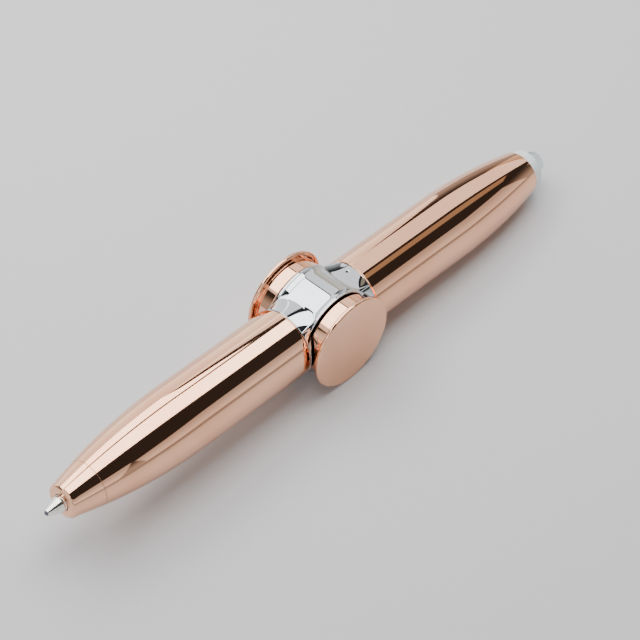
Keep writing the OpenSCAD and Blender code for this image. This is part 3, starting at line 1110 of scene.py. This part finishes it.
@dataclass
class TailLight:
    """Frosted collar and the clear lamp that stands in it."""

    body: str = "rear_half"
    collar_bore: float = 2.52
    collar_round: float = 0.35
    collar_step: float = 0.35
    flange_len: float = 1.0
    flange_step: float = 0.4
    collar_steps: int = 192
    lens_steps: int = 160
    dome_points: int = 33

    def collar(self) -> bpy.types.Object:
        """Makes the frosted collar with its spigot inside the barrel."""
        low, high = box_mm("led_collar")
        radius, mouth = high[2], box_mm("rear_barrel")[1][0]
        inner = radius - self.collar_step
        corners = [
            (self.collar_bore, low[0], 0.05), (inner, low[0], 0.1), (inner, mouth, 0.0),
            (radius, mouth, 0.06), (radius, high[0], self.collar_round),
            (self.collar_bore, high[0], 0.15),
        ]
        points = lathe_x(filled(rounded(corners), longest=0.3), self.collar_steps)
        return Shell("led_collar_frost").add(points).build(Finish.FROSTED_PLASTIC, self.body, "led_collar")

    def lens(self) -> bpy.types.Object:
        """Makes the lamp's clear body: a flange, a straight body and a half-round dome."""
        low, high = box_mm("led_lens")
        flange = high[2]
        radius = flange - self.flange_step
        t = np.linspace(0, math.pi / 2, self.dome_points)
        dome = [(radius * math.cos(a), high[0] - radius + radius * math.sin(a), 0.0) for a in t[1:]]
        corners = [
            (0.0, low[0], 0.0), (flange, low[0], 0.08), (flange, low[0] + self.flange_len, 0.1),
            (radius, low[0] + self.flange_len, 0.1), (radius, high[0] - radius, 0.0), *dome,
        ]
        outline = filled(rounded(corners, closed=False), longest=0.3, closed=False)
        outline[-1, 0] = 0.0
        shell = Shell("led_lens_clear").add(lathe_x(outline, self.lens_steps), close_rows=False)
        return shell.build(Finish.CLEAR_EPOXY, self.body, "led_lens")

    def build(self) -> list[bpy.types.Object]:
        """Makes both pieces."""
        return [self.collar(), self.lens()]


# ---------------- inner parts


@dataclass
class InnerParts:
    """CAD nodes that keep their shape and take a finish."""

    finishes: dict[Finish, tuple[str, ...]] = field(default_factory=lambda: {
        Finish.BEARING_STEEL: (
            "bearing_outer_ring", "bearing_inner_ring", "bearing_balls",
            "near_shield", "far_shield", "cap_stud",
        ),
        Finish.BRASS: (
            "bearing_cage", "front_thread_insert", "rear_thread_insert",
            "contact_plate", "contact_spring",
        ),
        Finish.WHITE_PLASTIC: ("refill_holder", "battery_sleeve", "led_holder"),
        Finish.REFILL_METAL: ("refill_tube",),
        Finish.CELL_STEEL: ("battery_cells",),
        Finish.LEAD_TIN: ("led_anode", "led_cathode"),
        Finish.LED_PHOSPHOR: ("led_chip",),
    })

    def dress(self) -> None:
        """Puts each finish on its nodes."""
        for finish, nodes in self.finishes.items():
            for name in nodes:
                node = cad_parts[name]
                if not node.material_slots:
                    node.data.materials.append(None)
                for slot in node.material_slots:
                    slot.material = finish.material()
                log.info("%s wears %s", name, finish.slot)


# ---------------- studio


@dataclass(frozen=True)
class Softbox:
    """A rectangular area light.

    Attributes:
        name: its name.
        centre: its place, in metres.
        aim: the point that it faces.
        size: its width and height.
        radiance: its brightness as seen directly.
        colour: its colour.
    """

    name: str
    centre: Triple
    aim: Triple
    size: tuple[float, float]
    radiance: float
    colour: Triple = (1.0, 1.0, 1.0)

    def build(self) -> None:
        """Makes the light. Its power is the radiance times pi times its area."""
        light = bpy.data.lights.new(self.name, "AREA")
        light.shape = "RECTANGLE"
        light.size, light.size_y = self.size
        light.energy = self.radiance * math.pi * self.size[0] * self.size[1]
        light.color = self.colour
        lamp = bpy.data.objects.new(self.name, light)
        towards = Vector(self.aim) - Vector(self.centre)
        turn = towards.to_track_quat("-Z", "Y").to_matrix().to_4x4()
        lamp.matrix_world = Matrix.Translation(self.centre) @ turn
        lamp.visible_camera = False
        bpy.context.scene.collection.objects.link(lamp)


@dataclass
class Studio:
    """Floor, lights, surroundings and camera.

    Angles are in degrees. The cap radius, sensor and lens are in mm, other lengths in metres. The
    surround has its horizon level up to the sine horizon_low of the elevation, and its overhead
    level from horizon_top.
    """

    floor_tilt: float = 3.75
    cap_radius: float = 9.08
    floor_half: float = 1.5
    paper: Triple = (0.62, 0.62, 0.63)
    overhead_level: float = 0.035
    horizon_level: float = 0.5
    horizon_low: float = 0.1
    horizon_top: float = 0.5
    azimuth: float = -49.72
    elevation: float = 44.72
    roll: float = 3.89
    distance: float = 0.44975
    target: Triple = (0.0002, -0.0005, -0.0002)
    sensor: float = 36.0
    lens: float = 142.7
    clips: tuple[float, float] = (0.01, 20)
    softboxes: tuple[Softbox, ...] = (
        Softbox("overhead", (0.025, 0.005, 0.30), (0.025, 0.005, 0.0), (0.33, 0.21), 5.0),
        Softbox("high_far", (-0.045, 0.24, 0.30), (-0.045, 0.24, 0.0), (0.45, 0.20), 5.0),
        Softbox("high_right", (0.40, 0.165, 0.30), (0.40, 0.165, 0.0), (0.39, 0.35), 1.5),
        Softbox("high_near", (0.33, -0.09, 0.30), (0.33, -0.09, 0.0), (0.25, 0.08), 0.4, (1.0, 0.8, 0.55)),
        Softbox("far_wall", (0.10, 0.62, 0.18), (0.0, 0.0, 0.02), (0.75, 0.62), 1.5),
        Softbox("right_wall", (0.62, 0.12, 0.13), (0.0, 0.0, 0.02), (0.5, 0.34), 0.7, (1.0, 0.82, 0.62)),
        Softbox("high_left", (-0.42, 0.0, 0.30), (-0.42, 0.0, 0.0), (0.34, 0.5), 1.2),
        Softbox("left_wall", (-0.62, -0.05, 0.2), (0.0, 0.0, 0.02), (0.8, 0.4), 0.8),
        Softbox("front_wall", (-0.2, -0.62, 0.2), (0.0, 0.0, 0.02), (0.6, 0.36), 0.6),
        Softbox("near_panel", (0.30, -0.42, 0.16), (0.0, 0.0, 0.02), (0.5, 0.22), 0.55),
    )

    def floor(self) -> bpy.types.Object:
        """Makes the floor: a plane that touches the cap rims and the rear barrel's underside."""
        tilt = math.radians(self.floor_tilt)
        along = np.array([math.cos(tilt), 0, math.sin(tilt)])
        normal = np.array([-math.sin(tilt), 0, math.cos(tilt)])
        centre = -normal * self.cap_radius * MM
        side = np.array([0, 1, 0])
        s = np.linspace(-1, 1, 3) * self.floor_half
        grid = centre + s[:, None, None] * along + s[None, :, None] * side
        floor = mesh_object("studio_floor", grid.reshape(-1, 3), grid_triangles(3, 3, False, False))
        if floor.data.polygons[0].normal.z < 0:
            floor.data.flip_normals()
        floor.data.materials.append(PalePaper("studio_paper", self.paper).build())
        return floor

    def camera(self) -> None:
        """Makes the camera from its azimuth, elevation, roll and distance about the target."""
        az, el, roll = (math.radians(v) for v in (self.azimuth, self.elevation, self.roll))
        back = Vector((math.sin(az) * math.cos(el), -math.cos(az) * math.cos(el), math.sin(el)))
        level = Vector((math.cos(az), math.sin(az), 0))
        up = back.cross(level)
        right = level * math.cos(roll) + up * math.sin(roll)
        up = back.cross(right)
        data = bpy.data.cameras.new("studio_camera")
        data.lens, data.sensor_width = self.lens, self.sensor
        data.clip_start, data.clip_end = self.clips
        camera = bpy.data.objects.new("studio_camera", data)
        turn = Matrix((right, up, back)).transposed().to_4x4()
        camera.matrix_world = Matrix.Translation(Vector(self.target) + back * self.distance) @ turn
        bpy.context.scene.collection.objects.link(camera)
        bpy.context.scene.camera = camera

    def world(self) -> None:
        """Sets a grey surround that fades from a pale horizon to a dim overhead."""
        world = bpy.data.worlds.new("studio_surround")
        world.use_nodes = True
        tree = NodeTree(world.node_tree)
        ground = world.node_tree.nodes["Background"]
        towards = tree.node("ShaderNodeTexCoord", output="Generated")
        height = tree.node("ShaderNodeSeparateXYZ", None, {0: towards}, 2)
        level = tree.node(
            "ShaderNodeMapRange",
            {"interpolation_type": "SMOOTHSTEP"},
            {
                "Value": height, "From Min": self.horizon_low, "From Max": self.horizon_top,
                "To Min": self.horizon_level, "To Max": self.overhead_level,
            },
        )
        tree.put(ground.inputs["Color"], (1.0, 1.0, 1.0, 1.0))
        tree.put(ground.inputs["Strength"], level)
        bpy.context.scene.world = world

    def build(self) -> None:
        """Makes the whole studio."""
        self.world()
        self.camera()
        self.floor()
        for box in self.softboxes:
            box.build()


# ---------------- assembly


def main() -> None:
    """Builds every sub-assembly in order."""
    logging.basicConfig(level=logging.INFO, format="%(name)s: %(message)s")
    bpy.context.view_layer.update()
    Studio().build()
    front = Barrel(
        "front_barrel", "front_half", side=-1, taper_end=61.6, taper_end_r=3.05,
        mouth_r=3.1, mouth_len=5.0, end_round=0.03,
    )
    rear = Barrel(
        "rear_barrel", "rear_half", side=1, taper_end=55.9, taper_end_r=4.4,
        mouth_r=3.4, mouth_len=2.0, end_round=0.45,
    )
    front.build()
    rear.build()
    Nose(front).build()
    Hub().build()
    for side in (-1, 1):
        FingerCap(side).build()
    tip = WritingTip()
    tip.cone()
    tip.ball()
    TailLight().build()
    InnerParts().dress()


if __name__ == "__main__":
    main()
